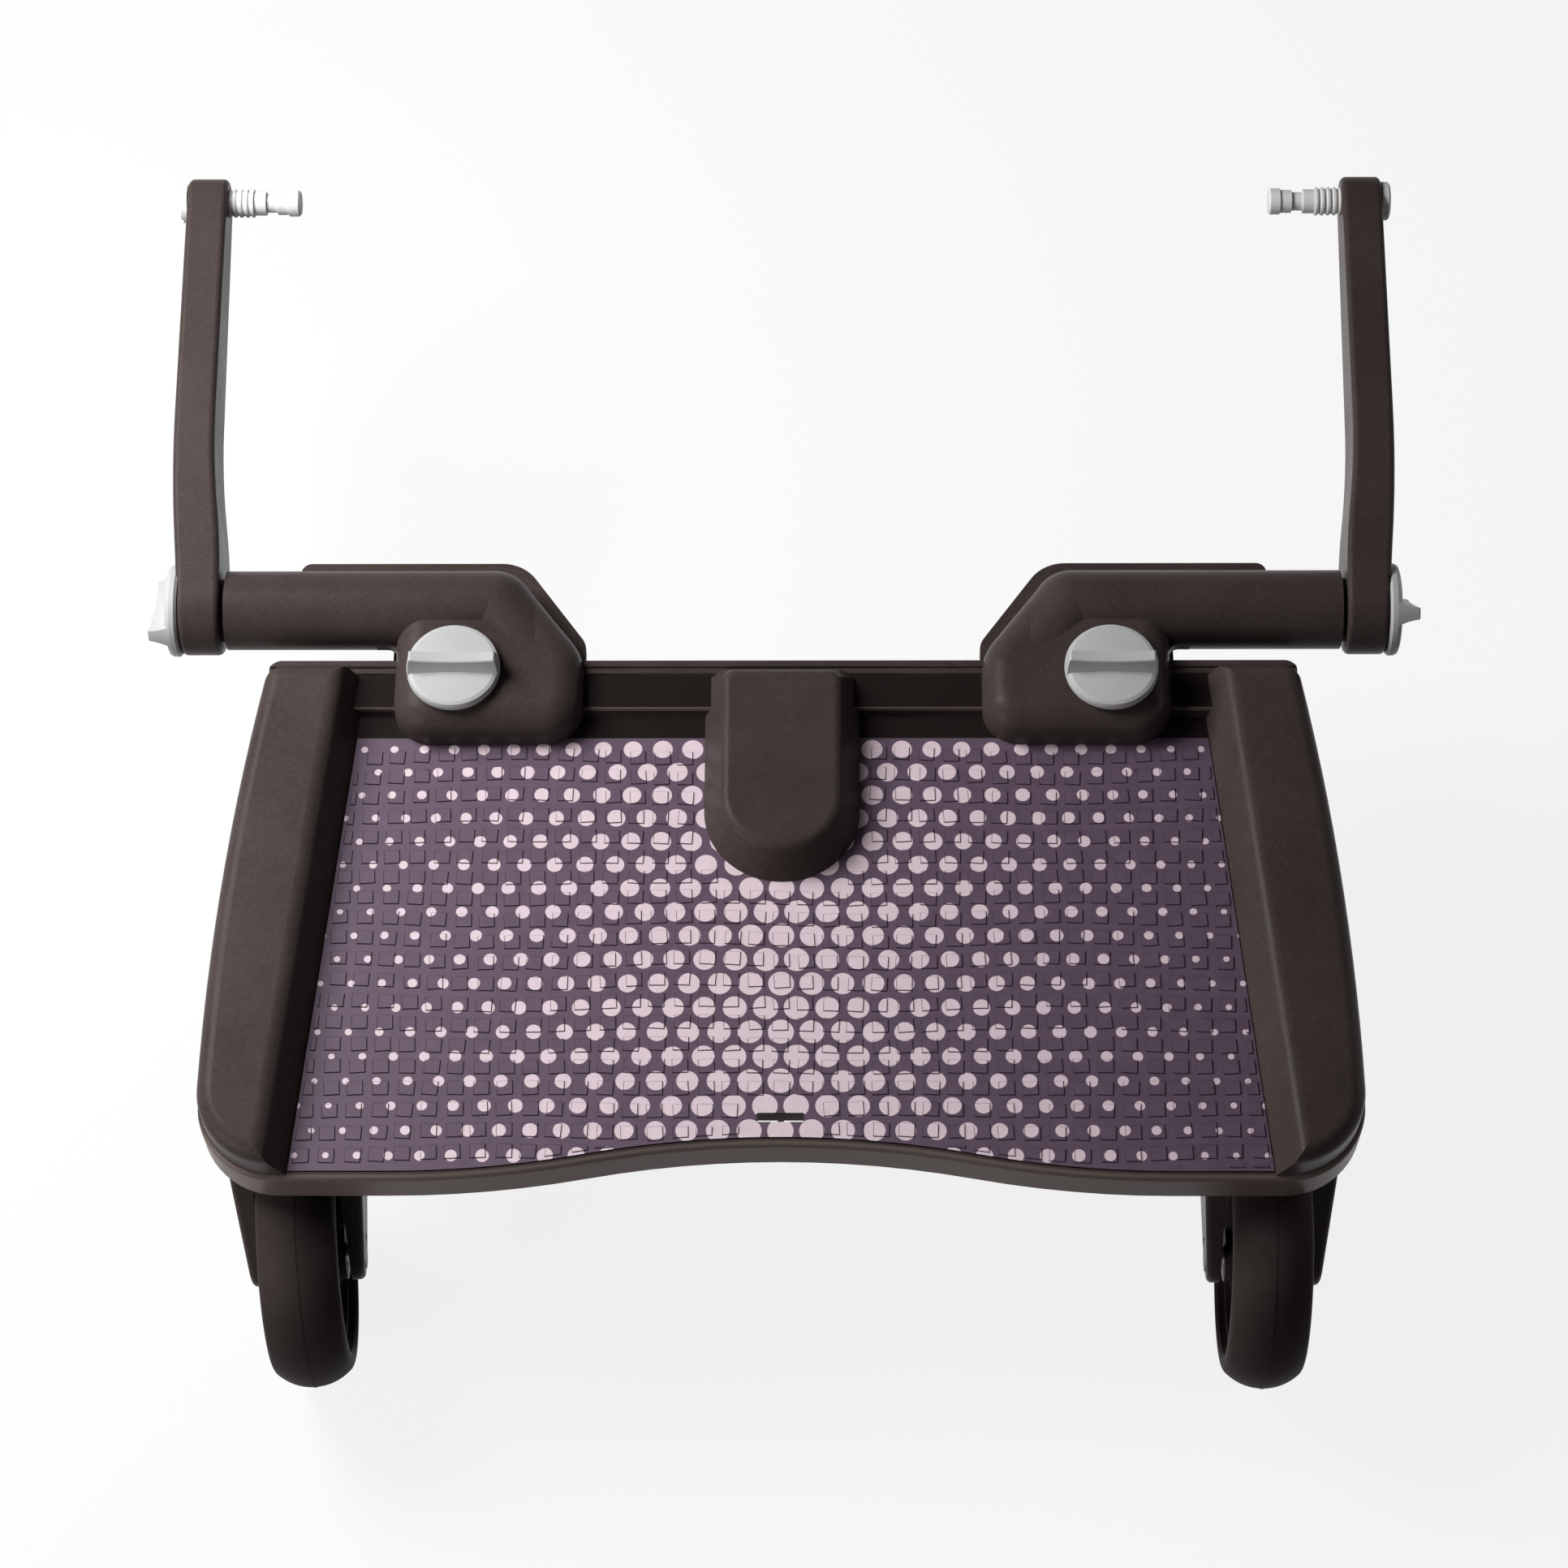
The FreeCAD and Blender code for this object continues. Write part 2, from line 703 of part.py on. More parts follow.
def arm_holder():
    housing = plan_prism(holder_outline(), holder_bottom, holder_top)
    housing = round_edges(housing, holder_round, flat_at(holder_top))
    flange = plan_prism(flange_outline(), holder_bottom, holder_bottom + flange_thickness)
    seat = cylinder_z(knob_radius - knob_seat_inset, rail_knob_x, rail_knob_y,
                      holder_top - holder_round, holder_top)
    holder = housing.fuse(bent_tube() + [flange, seat, tube_web()])
    over_deck = box(point(0, 0, holder_bottom - tube_radius),
                    point(deck_width, deck_front_y + slide_clearance, mat_top + slide_clearance))
    below = box(point(0, 0, holder_bottom - tube_radius), point(tube_end_x, holder_far_y, holder_bottom))
    stud_hole = stud_radius + stud_clearance
    insert_hole = insert_radius + fixed_clearance
    insert_top = insert_bottom() + insert_length
    cuts = [
        over_deck, below, rail_envelope(slide_clearance),
        cylinder_z(stud_hole, rail_knob_x, rail_knob_y, mat_top, holder_top + cut_past),
        cylinder_z(insert_hole, rail_knob_x, rail_knob_y, mat_top, insert_top),
        cylinder_x(stud_hole, stud_end_x - stud_run_out, tube_end_x + cut_past, tube_y, tube_z),
        cylinder_x(tube_bore_radius, stud_end_x, stud_end_x + pivot_nut_length, tube_y, tube_z),
    ]
    cuts += [screw_hole(x, y, holder_bottom) for x, y in jaw_screw_places()]
    return holder.cut(cuts).removeSplitter()


def insert_bottom():
    return rail_land_z + slide_clearance + pad_thickness + knob_gap


def jaw_screw_places():
    y = deck_front_y + jaw_depth / 2
    return [(rail_knob_x + sign * jaw_screw_spacing / 2, y) for sign in (-1, 1)]


def lower_jaw():
    """Plate under the holder with a tooth that hooks up under the rail's lip."""
    x0 = rail_knob_x - jaw_half_length
    x1 = rail_knob_x + jaw_half_length
    tooth_rear = wall_front_y + slide_clearance
    tooth_front = deck_front_y + slide_clearance
    tooth_top = lip_under_z - slide_clearance
    low = holder_bottom - jaw_thickness
    far = deck_front_y + jaw_depth
    section = [
        (tooth_rear, low, jaw_round), (far, low, jaw_round), (far, holder_bottom, 0),
        (tooth_front, holder_bottom, 0), (tooth_front, tooth_top, 0), (tooth_rear, tooth_top, 0),
    ]
    jaw = side_prism(section, x0, x1)
    below = low - cut_past
    for x, y in jaw_screw_places():
        jaw = jaw.cut(cylinder_z(screw_radius + fixed_clearance, x, y, below, holder_bottom + cut_past))
        jaw = jaw.cut(cylinder_z(screw_head_radius + mat_gap, x, y, below, low + screw_head_height))
    return jaw


def jaw_screws():
    seat = holder_bottom - jaw_thickness + screw_head_height
    reach = holder_bottom - seat + screw_bite - screw_tip_gap
    return Part.makeCompound([screw(x, y, seat, reach) for x, y in jaw_screw_places()])


def wing_knob(base, axis, across):
    """Round knob with a hollow-sided wing across its face; base is the centre of its flat underside."""
    side = axis.cross(across)
    top = knob_thickness
    profile = [
        (0, 0), (0, knob_radius - knob_edge), (knob_edge, knob_radius), (top - knob_brow, knob_radius),
        (top - knob_brow * 0.3, knob_radius - knob_brow * 0.3), (top, knob_radius - knob_brow),
        (top + knob_dome, 0),
    ]
    disc = revolved(profile, base, axis, across)
    low = top - knob_brow
    high = top + wing_height
    foot = wing_base_width / 2
    crest = wing_top_width / 2

    def place(width, height):
        return base + axis * height + side * width - across * knob_radius

    def flank(sign):
        waist = place(sign * ((foot + crest) / 2 - wing_hollow), (low + high) / 2)
        return Part.Arc(place(sign * foot, low), waist, place(sign * crest, high)).toShape()

    edges = [
        flank(1), Part.LineSegment(place(crest, high), place(-crest, high)).toShape(),
        flank(-1), Part.LineSegment(place(-foot, low), place(foot, low)).toShape(),
    ]
    blade = Part.Face(Part.Wire(Part.__sortEdges__(edges))).extrude(across * 2 * knob_radius)
    reach = knob_radius - wing_end_draft
    outline = [(0, 0), (0, knob_radius), (low, knob_radius), (high, reach), (high, 0)]
    ends = revolved(outline, base, axis, across)
    dip_radius = (knob_radius ** 2 + wing_dip ** 2) / (2 * wing_dip)
    dip_centre = base + axis * (high - wing_dip + dip_radius)
    dip = Part.makeCylinder(dip_radius, wing_base_width, dip_centre - side * foot, side)
    wing = blade.common(ends).cut(dip)
    crest_face = max(wing.Faces, key=lambda face: face.CenterOfMass.dot(axis))
    return disc.fuse(wing.makeFillet(wing_round, crest_face.Edges)).removeSplitter()


def rail_knob():
    knob = wing_knob(point(rail_knob_x, rail_knob_y, holder_top + knob_gap), point(0, 0, 1), point(1, 0, 0))
    return knob.cut(cylinder_z(stud_radius, rail_knob_x, rail_knob_y, holder_top, rail_stud_top()))


def rail_stud_top():
    return holder_top + knob_gap + knob_thickness - knob_cap


def rail_stud():
    low = rail_land_z + slide_clearance + pad_thickness + mat_gap
    return cylinder_z(stud_radius, rail_knob_x, rail_knob_y, low, rail_stud_top())


def clamp_pad():
    low = rail_land_z + slide_clearance
    return cylinder_z(pad_radius, rail_knob_x, rail_knob_y, low, low + pad_thickness)


def thread_insert():
    low = insert_bottom()
    sleeve = cylinder_z(insert_radius, rail_knob_x, rail_knob_y, low, low + insert_length)
    bore = cylinder_z(stud_radius + stud_clearance, rail_knob_x, rail_knob_y, low - cut_past,
                      low + insert_length + cut_past)
    return sleeve.cut(bore)


# Extension arms, drawn level along +Y from the pivot and then pitched
def pitched(shape):
    turned = shape.copy()
    turned.rotate(point(0, tube_y, tube_z), point(1, 0, 0), arm_pitch)
    return turned


def extension_arm():
    def side_place(p):
        return point(arm_inner_x, tube_y + p.x, tube_z + p.y)

    def plan_place(p):
        return point(p.y, tube_y + p.x, tube_z - 2 * arm_pivot_radius)

    tip = point(arm_length, 0, 0)
    flank = link_outline(point(0, 0, 0), arm_pivot_radius, tip, arm_tip_radius, side_place)
    flank = flank.extrude(point(tip_outer_x - arm_inner_x, 0, 0))
    rear = arm_swell_start
    front = arm_length + arm_tip_radius + cut_past
    start_in = point(arm_jog_start, arm_inner_x, 0)
    end_in = point(arm_jog_end, tip_inner_x, 0)
    end_out = point(arm_jog_end, tip_outer_x, 0)
    corners = [(rear, arm_outer_x), (rear, arm_inner_x), (front, tip_inner_x), (front, tip_outer_x)]
    rear_out, rear_in, front_in, front_out = [point(a, b, 0) for a, b in corners]
    edges = [
        Part.LineSegment(plan_place(rear_out), plan_place(rear_in)).toShape(),
        Part.LineSegment(plan_place(rear_in), plan_place(start_in)).toShape(),
        *easing_arcs(start_in, end_in, plan_place),
        Part.LineSegment(plan_place(end_in), plan_place(front_in)).toShape(),
        Part.LineSegment(plan_place(front_in), plan_place(front_out)).toShape(),
        Part.LineSegment(plan_place(front_out), plan_place(end_out)).toShape(),
        *reversed(easing_arcs(rear_out, end_out, plan_place)),
    ]
    sheet = Part.Face(Part.Wire(edges)).extrude(point(0, 0, 4 * arm_pivot_radius))
    arm = flank.common(sheet)
    arm = round_edges(arm, arm_edge_round, lambda edge: edge.BoundBox.XLength < arm_thickness * 0.8)
    through = (arm_inner_x - cut_past, tip_outer_x + cut_past)
    pivot_hole = cylinder_x(stud_radius + stud_clearance, *through, tube_y, tube_z)
    pin_hole = cylinder_x(pin_shank_radius + stud_clearance, *through, tube_y + arm_length, tube_z)
    knob_seat = cylinder_x(knob_radius + knob_seat_gap, arm_outer_x, tip_outer_x + cut_past, tube_y, tube_z)
    return pitched(arm.cut([pivot_hole, pin_hole, knob_seat]))


def friction_washer():
    ring = cylinder_x(washer_radius, tube_end_x, arm_inner_x, tube_y, tube_z)
    bore = cylinder_x(stud_radius + stud_clearance, tube_end_x, arm_inner_x, tube_y, tube_z)
    return ring.cut(bore)


def knob_socket_x():
    return arm_outer_x + knob_gap + knob_thickness - knob_cap


def arm_knob(turn):
    """Knob outside the arm's pivot, its wing turned up from +Y by an angle in degrees."""
    across = point(0, math.cos(math.radians(turn)), math.sin(math.radians(turn)))
    knob = wing_knob(point(arm_outer_x + knob_gap, tube_y, tube_z), point(1, 0, 0), across)
    return knob.cut(cylinder_x(stud_radius, arm_outer_x, knob_socket_x(), tube_y, tube_z))


def arm_stud():
    return cylinder_x(stud_radius, stud_end_x, knob_socket_x(), tube_y, tube_z)


def pivot_nut():
    x1 = stud_end_x + pivot_nut_length
    nut = cylinder_x(tube_bore_radius - fixed_clearance, stud_end_x, x1, tube_y, tube_z)
    return nut.cut(cylinder_x(stud_radius + stud_clearance, stud_end_x, x1, tube_y, tube_z))


def connector_pin():
    """Stepped pin through the arm's tip: slotted cap, ridged shank, collar, neck, head and end rim."""
    base = point(tip_outer_x + pin_cap_thickness + knob_gap, tube_y + arm_length, tube_z)
    inward = point(-1, 0, 0)
    profile = [(0, 0), (0, pin_cap_radius - pin_edge), (pin_edge, pin_cap_radius)]
    profile += [(pin_cap_thickness, pin_cap_radius), (pin_cap_thickness, pin_shank_radius)]
    along = pin_cap_thickness + knob_gap + arm_thickness + knob_gap
    profile.append((along, pin_shank_radius))
    pitch = pin_shank_length / pin_ridge_count
    for _ in range(pin_ridge_count):
        profile.append((along + pitch * 0.15, pin_shank_radius - pin_ridge_depth))
        profile.append((along + pitch * 0.45, pin_shank_radius - pin_ridge_depth))
        profile.append((along + pitch * 0.6, pin_shank_radius))
        profile.append((along + pitch * 0.95, pin_shank_radius))
        along += pitch
    steps = [(pin_collar_radius, pin_collar_length), (pin_neck_radius, pin_neck_length),
             (pin_head_radius, pin_head_length), (pin_rim_radius, pin_rim_length)]
    for radius, length in steps:
        profile.append((along, radius))
        along += length
        profile.append((along, radius))
    profile[-1] = (along - pin_edge, pin_rim_radius)
    profile.append((along, pin_rim_radius - pin_edge))
    profile.append((along, 0))
    pin = revolved(profile, base, inward, point(0, 0, 1))
    slot = box(base + point(-pin_slot_depth, -pin_cap_radius, -pin_slot_width / 2),
               base + point(cut_past, pin_cap_radius, pin_slot_width / 2))
    return pitched(pin.cut(slot))


# Castors
def tyre():
    half = tyre_width / 2
    crown_edge = half - tyre_shoulder_width
    crown_top = wheel_radius - tyre_seam_height
    shoulder = crown_top - tyre_crown_radius + math.sqrt(tyre_crown_radius ** 2 - crown_edge ** 2)
    side_top = shoulder - tyre_shoulder_drop
    inner = wheel_radius - tyre_depth
    bead = inner + tyre_bead

    def place(x, radius):
        return point(castor_x + x, axle_y, axle_z + radius)

    def shoulder_arc(sign):
        turn = place(sign * (crown_edge + tyre_shoulder_width * 0.65), shoulder - tyre_shoulder_drop * 0.35)
        return Part.Arc(place(sign * crown_edge, shoulder), turn, place(sign * half, side_top)).toShape()

    section = [
        place(-half, side_top), place(-half, bead), place(-half + tyre_bead, inner),
        place(half - tyre_bead, inner), place(half, bead), place(half, side_top),
    ]
    edges = [Part.LineSegment(start, end).toShape() for start, end in zip(section, section[1:])]
    crown = Part.Arc(place(-crown_edge, shoulder), place(0, crown_top), place(crown_edge, shoulder))
    edges += [crown.toShape(), shoulder_arc(-1), shoulder_arc(1)]
    face = Part.Face(Part.Wire(Part.__sortEdges__(edges)))
    ring = face.revolve(place(0, 0), point(1, 0, 0), 360)
    x0 = castor_x - tyre_seam_width / 2
    x1 = castor_x + tyre_seam_width / 2
    seam = cylinder_x(wheel_radius, x0, x1, axle_y, axle_z)
    seam = seam.cut(cylinder_x(crown_top - tyre_seam_width, x0, x1, axle_y, axle_z))
    return ring.fuse(seam)


def wheel_hub():
    outer = wheel_radius - tyre_depth - fixed_clearance
    inner = outer - hub_rim_thickness
    x0 = castor_x - hub_rim_width / 2
    x1 = castor_x + hub_rim_width / 2
    reach = inner + hub_rim_thickness / 2
    rim = cylinder_x(outer, x0, x1, axle_y, axle_z)
    rim = rim.cut(cylinder_x(inner, x0 - cut_past, x1 + cut_past, axle_y, axle_z))
    web = cylinder_x(reach, castor_x - hub_web / 2, castor_x + hub_web / 2, axle_y, axle_z)
    boss = cylinder_x(hub_boss_radius, castor_x - tyre_width / 2, castor_x + tyre_width / 2, axle_y, axle_z)
    ribs = []
    for index in range(hub_rib_count):
        rib = box(point(x0 + hub_rib_inset, axle_y - hub_rib_thickness / 2, axle_z),
                  point(x1 - hub_rib_inset, axle_y + hub_rib_thickness / 2, axle_z + reach))
        rib.rotate(point(castor_x, axle_y, axle_z), point(1, 0, 0), index * 360 / hub_rib_count)
        ribs.append(rib)
    hub = rim.fuse([web, boss] + ribs)
    bore = cylinder_x(bushing_radius(), x0 - tyre_width, x1 + tyre_width, axle_y, axle_z)
    return hub.cut(bore).removeSplitter()


def bushing_radius():
    return axle_radius + axle_clearance + bush_wall / 2


def wheel_bushes():
    length = tyre_width / 2 - hub_web / 2
    outer_x = castor_x + tyre_width / 2
    bushes = []
    for x0 in (castor_x - tyre_width / 2, outer_x - length):
        sleeve = cylinder_x(bushing_radius() - fixed_clearance, x0, x0 + length, axle_y, axle_z)
        bore = cylinder_x(axle_radius + axle_clearance, x0 - cut_past, x0 + length + cut_past, axle_y, axle_z)
        bushes.append(sleeve.cut(bore))
    return Part.makeCompound(bushes)


def fork_taper(crown):
    """Wedge that is as wide as the fork at the axle and flares towards the crown."""
    along = point(0, crown.x - axle_y, crown.y - axle_z)
    across = point(0, -along.z, along.y)
    across.normalize()
    across *= wheel_radius
    axle_centre = point(castor_x, axle_y, axle_z)

    # A share of 0 is at the axle, 1 at the middle of the crown
    def corner(side, share):
        half = fork_half_width + fork_flare * share
        return axle_centre + along * share - across + point(side * half, 0, 0)

    corners = [corner(-1, -1), corner(1, -1), corner(1, 2), corner(-1, 2)]
    wedge = Part.Face(Part.makePolygon(corners + corners[:1]))
    return wedge.extrude(across * 2)


def on_fork_flank(edge):
    return abs(edge.CenterOfMass.x - castor_x) > fork_half_width / 2


def castor_fork():
    crown = point(stem_y - fork_crown_set_back, fork_top - fork_crown_radius, 0)
    widest = fork_half_width + 2 * fork_flare

    def place(p):
        return point(castor_x - widest, p.x, p.y)

    flank = link_outline(crown, fork_crown_radius, point(axle_y, axle_z, 0), fork_boss_radius, place)
    fork = flank.extrude(point(2 * widest, 0, 0)).common(fork_taper(crown))
    fork = round_edges(fork, fork_edge_round, on_fork_flank)
    half_slot = tyre_width / 2 + fork_side_gap
    x0 = castor_x - fork_half_width
    x1 = castor_x + fork_half_width
    wheel_space = wheel_radius + fork_wheel_gap
    wheel_room = cylinder_x(wheel_space, castor_x - half_slot, castor_x + half_slot, axle_y, axle_z)
    head = cylinder_z(stem_radius + bush_wall + bush_flange, castor_x, stem_y,
                      fork_top - fork_crown_radius / 2, fork_top)
    stem_hole = stem_radius + fixed_clearance
    cuts = [
        wheel_room, cylinder_z(stem_hole, castor_x, stem_y, fork_top - stem_sink, fork_top + cut_past),
        cylinder_x(axle_radius + fixed_clearance, x0, x1, axle_y, axle_z),
    ]
    cap_hole = axle_cap_radius + fixed_clearance
    cuts += [cylinder_x(cap_hole, x - axle_cap_height, x + axle_cap_height, axle_y, axle_z) for x in (x0, x1)]
    return fork.fuse(head).cut(cuts).removeSplitter()


def axle():
    reach = fork_half_width - axle_cap_height
    return cylinder_x(axle_radius, castor_x - reach, castor_x + reach, axle_y, axle_z)


def axle_caps():
    x0 = castor_x - fork_half_width
    x1 = castor_x + fork_half_width
    return Part.makeCompound([
        cylinder_x(axle_cap_radius, x0, x0 + axle_cap_height, axle_y, axle_z),
        cylinder_x(axle_cap_radius, x1 - axle_cap_height, x1, axle_y, axle_z),
    ])


def stem_groove(depth, reach, gap):
    """Ring-shaped space round the stem, for its retaining ring and the grooves that hold it."""
    low = ring_low - gap
    high = ring_low + stem_ring_height + gap
    ring = cylinder_z(stem_radius + reach, castor_x, stem_y, low, high)
    return ring.cut(cylinder_z(stem_radius - depth, castor_x, stem_y, low, high))


def castor_stem():
    stem = cylinder_z(stem_radius, castor_x, stem_y, fork_top - stem_sink, stem_top)
    return stem.cut(stem_groove(stem_ring_groove, cut_past, 0))


def stem_clip():
    ring = stem_groove(stem_ring_groove - fixed_clearance, stem_ring_reach, 0)
    mouth = stem_radius - 2 * stem_ring_groove
    return ring.cut(box(point(castor_x - mouth, stem_y, ring_low - cut_past),
                        point(castor_x + mouth, stem_y + 2 * stem_radius, stem_top)))


def swivel_bush():
    tube = cylinder_z(bush_radius, castor_x, stem_y, socket_bottom, bush_top)
    flange_low = socket_bottom - bush_flange_height
    flange = cylinder_z(bush_radius + bush_flange, castor_x, stem_y, flange_low, socket_bottom)
    bore = cylinder_z(stem_radius + stud_clearance, castor_x, stem_y, fork_top, stem_top + swivel_gap)
    return tube.fuse(flange).cut([bore, stem_groove(0, stem_ring_reach + swivel_gap, swivel_gap)])


single_pieces = {
    "deck_shell": deck_shell,
    "standing_mat": standing_mat,
    "centre_cover": centre_cover,
    "deck_screws": deck_screws,
    "arm_knob_right": lambda: arm_knob(right_knob_turn),
    "arm_knob_left": lambda: mirrored(arm_knob(left_knob_turn)),
}
paired_pieces = {
    "side_rail": side_cover,
    "arm_holder": arm_holder,
    "lower_jaw": lower_jaw,
    "jaw_screws": jaw_screws,
    "rail_knob": rail_knob,
    "rail_stud": rail_stud,
    "clamp_pad": clamp_pad,
    "thread_insert": thread_insert,
    "extension_arm": extension_arm,
    "friction_washer": friction_washer,
    "arm_stud": arm_stud,
    "pivot_nut": pivot_nut,
    "connector_pin": connector_pin,
    "castor_fork": castor_fork,
    "castor_stem": castor_stem,
    "stem_clip": stem_clip,
    "swivel_bush": swivel_bush,
    "axle": axle,
    "axle_caps": axle_caps,
    "tyre": tyre,
    "wheel_hub": wheel_hub,
    "wheel_bushes": wheel_bushes,
}

# Pieces that swivel with a castor
castor_pieces = (
    "castor_fork", "castor_stem", "stem_clip", "axle", "axle_caps", "tyre", "wheel_hub", "wheel_bushes",
)


def save(name, shape):
    placed = shape.copy()
    placed.translate(point(0, frame_shift_y, 0))
    placed.exportStep("parts/" + name + ".step")


os.makedirs("parts", exist_ok=True)
for name, make in single_pieces.items():
    save(name, make())
for name, make in paired_pieces.items():
    right = make()
    left = mirrored(right)
    if name in castor_pieces:
        right.rotate(point(castor_x, stem_y, 0), point(0, 0, 1), right_castor_turn)
        left.rotate(point(-castor_x, stem_y, 0), point(0, 0, 1), left_castor_turn)
    save(name + "_right", right)
    save(name + "_left", left)
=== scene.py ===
import json
import math

import bpy
from mathutils import Matrix, Vector


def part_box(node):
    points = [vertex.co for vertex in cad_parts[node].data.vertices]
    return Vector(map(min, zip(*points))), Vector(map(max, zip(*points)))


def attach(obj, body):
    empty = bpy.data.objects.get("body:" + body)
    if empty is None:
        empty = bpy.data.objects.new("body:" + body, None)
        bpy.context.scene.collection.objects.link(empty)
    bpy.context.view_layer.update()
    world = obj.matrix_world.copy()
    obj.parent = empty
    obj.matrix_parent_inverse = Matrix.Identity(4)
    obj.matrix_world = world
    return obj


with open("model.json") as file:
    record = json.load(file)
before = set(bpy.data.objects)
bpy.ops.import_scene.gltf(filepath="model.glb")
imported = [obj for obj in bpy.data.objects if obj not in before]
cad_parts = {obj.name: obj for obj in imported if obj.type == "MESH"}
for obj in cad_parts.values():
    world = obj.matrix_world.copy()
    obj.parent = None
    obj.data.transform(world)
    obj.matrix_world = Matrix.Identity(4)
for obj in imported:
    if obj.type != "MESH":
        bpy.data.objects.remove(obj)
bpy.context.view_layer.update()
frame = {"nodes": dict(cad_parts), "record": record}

# The photograph's frame and camera: metres, degrees and pixels
photo_side = 1932
sensor_width = 36.0
focal_pixels = 4950.0
camera_distance = 1.50
camera_azimuth = 1.36
camera_elevation = 63.1
camera_roll = -1.25
camera_target = Vector((0.0007, -0.0193, 0.119))

# Colours
dark_colour = (0.060, 0.045, 0.0416)
tyre_colour = (0.044, 0.034, 0.032)
mat_colour = (0.125, 0.080, 0.123)
print_colour = (0.80, 0.645, 0.71)
knob_colour = (0.53, 0.53, 0.53)
pin_colour = (0.84, 0.84, 0.83)
bush_colour = (0.66, 0.64, 0.59)
washer_colour = (0.030, 0.029, 0.028)
steel_colour = (0.60, 0.60, 0.61)
brass_colour = (0.72, 0.55, 0.26)

# Plastics and soft washers by slot: colour, roughness, depth of grain in metres, share of mottling and sheen
plastics = {
    "dark_plastic": (dark_colour, 0.33, 0.00012, 0.22, 0.06),
    "grey_plastic": (knob_colour, 0.38, 0.00004, 0.03, 0.11),
    "pin_plastic": (pin_colour, 0.42, 0.00004, 0.03, 0.11),
    "bush_plastic": (bush_colour, 0.40, 0.00004, 0.05, 0.11),
    "washer_rubber": (washer_colour, 0.62, 0.00008, 0.10, 0.11),
}

# Metals by slot: colour and roughness
metals = {
    "steel": (steel_colour, 0.32),
    "brass": (brass_colour, 0.30),
}

# Noises: waves per metre, octaves of detail and their roughness, and the range in which most of a noise lies
cloud_noise = (22.0, 4.0, 0.6)
speck_noise = (420.0, 3.0, 0.6)
grain_noise = (1500.0, 2.0, 0.6)
bloom_noise = (45.0, 5.0, 0.65)
tyre_noise = (900.0, 3.0, 0.6)
rubbing_noise = (150.0, 4.0, 0.6)
mat_noise = (1100.0, 2.0, 0.6)
mark_noise = (700.0, 4.0, 0.7)
noise_low = 0.3
noise_high = 0.7

# Texture of the plastics: the specks' share and depth against the grain's, and how far roughness strays
speck_share = 0.5
speck_depth = 2.0
speck_bump = 0.20
grain_bump = 0.40
tone_low = 0.95
tone_high = 1.55
plastic_stray = (-0.05, 0.06)

# Texture of the tyres
bloom_low = 0.35
bloom_shades = (0.85, 1.2)
tyre_roughness = (0.52, 0.66)
tyre_bump = 0.3
tyre_depth = 0.00012
tyre_specular = 0.03

# Texture of the mat, with the painted shade on its tiles' flanks and on its walls
ground_shades = (0.9, 1.1)
ink_shades = (0.96, 1.04)
flank_painted_share = 0.8
flank_painted_shade = 0.2
wall_painted_shade = 0.15
mat_roughness = (0.46, 0.56)
mat_bump = 0.25
mat_depth = 0.0001
mat_specular = 0.3

# Tool marks of the metals
metal_shades = (0.9, 1.05)
metal_stray = (-0.06, 0.08)
metal_bump = 0.15
metal_depth = 0.00005

# Crease angle in degrees, and how far a face leans where it begins to count as a top or a back
smooth_angle = 32.0
top_none = 0.2
top_full = 0.4
back_full = -0.5
back_none = -0.15

# Polished band of the deck's front rail, measured back from the deck's front edge: lower roughness, and a
# painted shade that darkens its top faces
polish_start = 0.0055
polish_end = 0.040
polish_edge = 0.0004
polish_painted_shade = 0.30
polish_roughness = 0.6

# Painted highlight along the upper edge of the step behind that rail, and painted light on the step's face
# below it, which lifts its shade
ledge_start = 0.0192
ledge_end = 0.0200
ledge_foot = 0.0212
ledge_painted_highlight = 2.6
step_painted_light = 0.75

# Painted light on the rear-facing faces of the deck's rear rim, and how far forward it may lie
rim_depth = 0.030
rim_painted_light = 3.2

# Raised tiles of the mat, which stray a little from their rows
tile_pitch_x = 0.0090
tile_pitch_y = 0.0084
tile_width = 0.0062
tile_length = 0.0058
tile_height = 0.00045
tile_sink = 0.0002
tile_slope = 0.00045
tile_first_row = 0.9
tile_wander = 0.00035
tile_wave = 0.0012
tile_tilt = 4.0
wander_turn = (2.1, 1.3)
wave_turn = (0.42, 0.3)
tilt_turn = (0.9, 0.7)
mat_edge_margin = 0.0010
mat_front_margin = 0.0036
piece_margin = 0.0012
least_tile = 0.0012
strap_slot_inset = 0.0075
strap_slot_half = Vector((0.0105, 0.0035))
scoop_half_width = 0.140
scoop_depth = 0.013
scoop_probe = 0.00045

# Print on the mat: staggered rows of round dots that grow towards the middle
dot_pitch_x = 0.0112
dot_pitch_y = 0.0096
dot_least = 0.0011
dot_most = 0.0047
dot_reach = 0.165
dot_edge = 0.00012

# Stage and surroundings
stage_radius = 12.0
stage_wall = 6.0
stage_sides = 48
stage_glow = 0.85
stage_dull = 0.15
stage_pale = 0.90
world_light = 0.045

# Lamps: place and side in metres, and power in watts
lamps = {
    "key": ((-0.53, 0.20, 0.68), 0.4, 7.4),
    "rear_fill": ((-0.78, -0.60, 0.40), 0.5, 2.8),
    "right_fill": ((0.90, 0.10, 0.30), 0.5, 0.7),
}


# Shader building
def shade(colour, factor):
    return tuple(channel * factor for channel in colour)


def grey(level):
    """An opaque grey with its alpha."""
    return (level, level, level, 1.0)


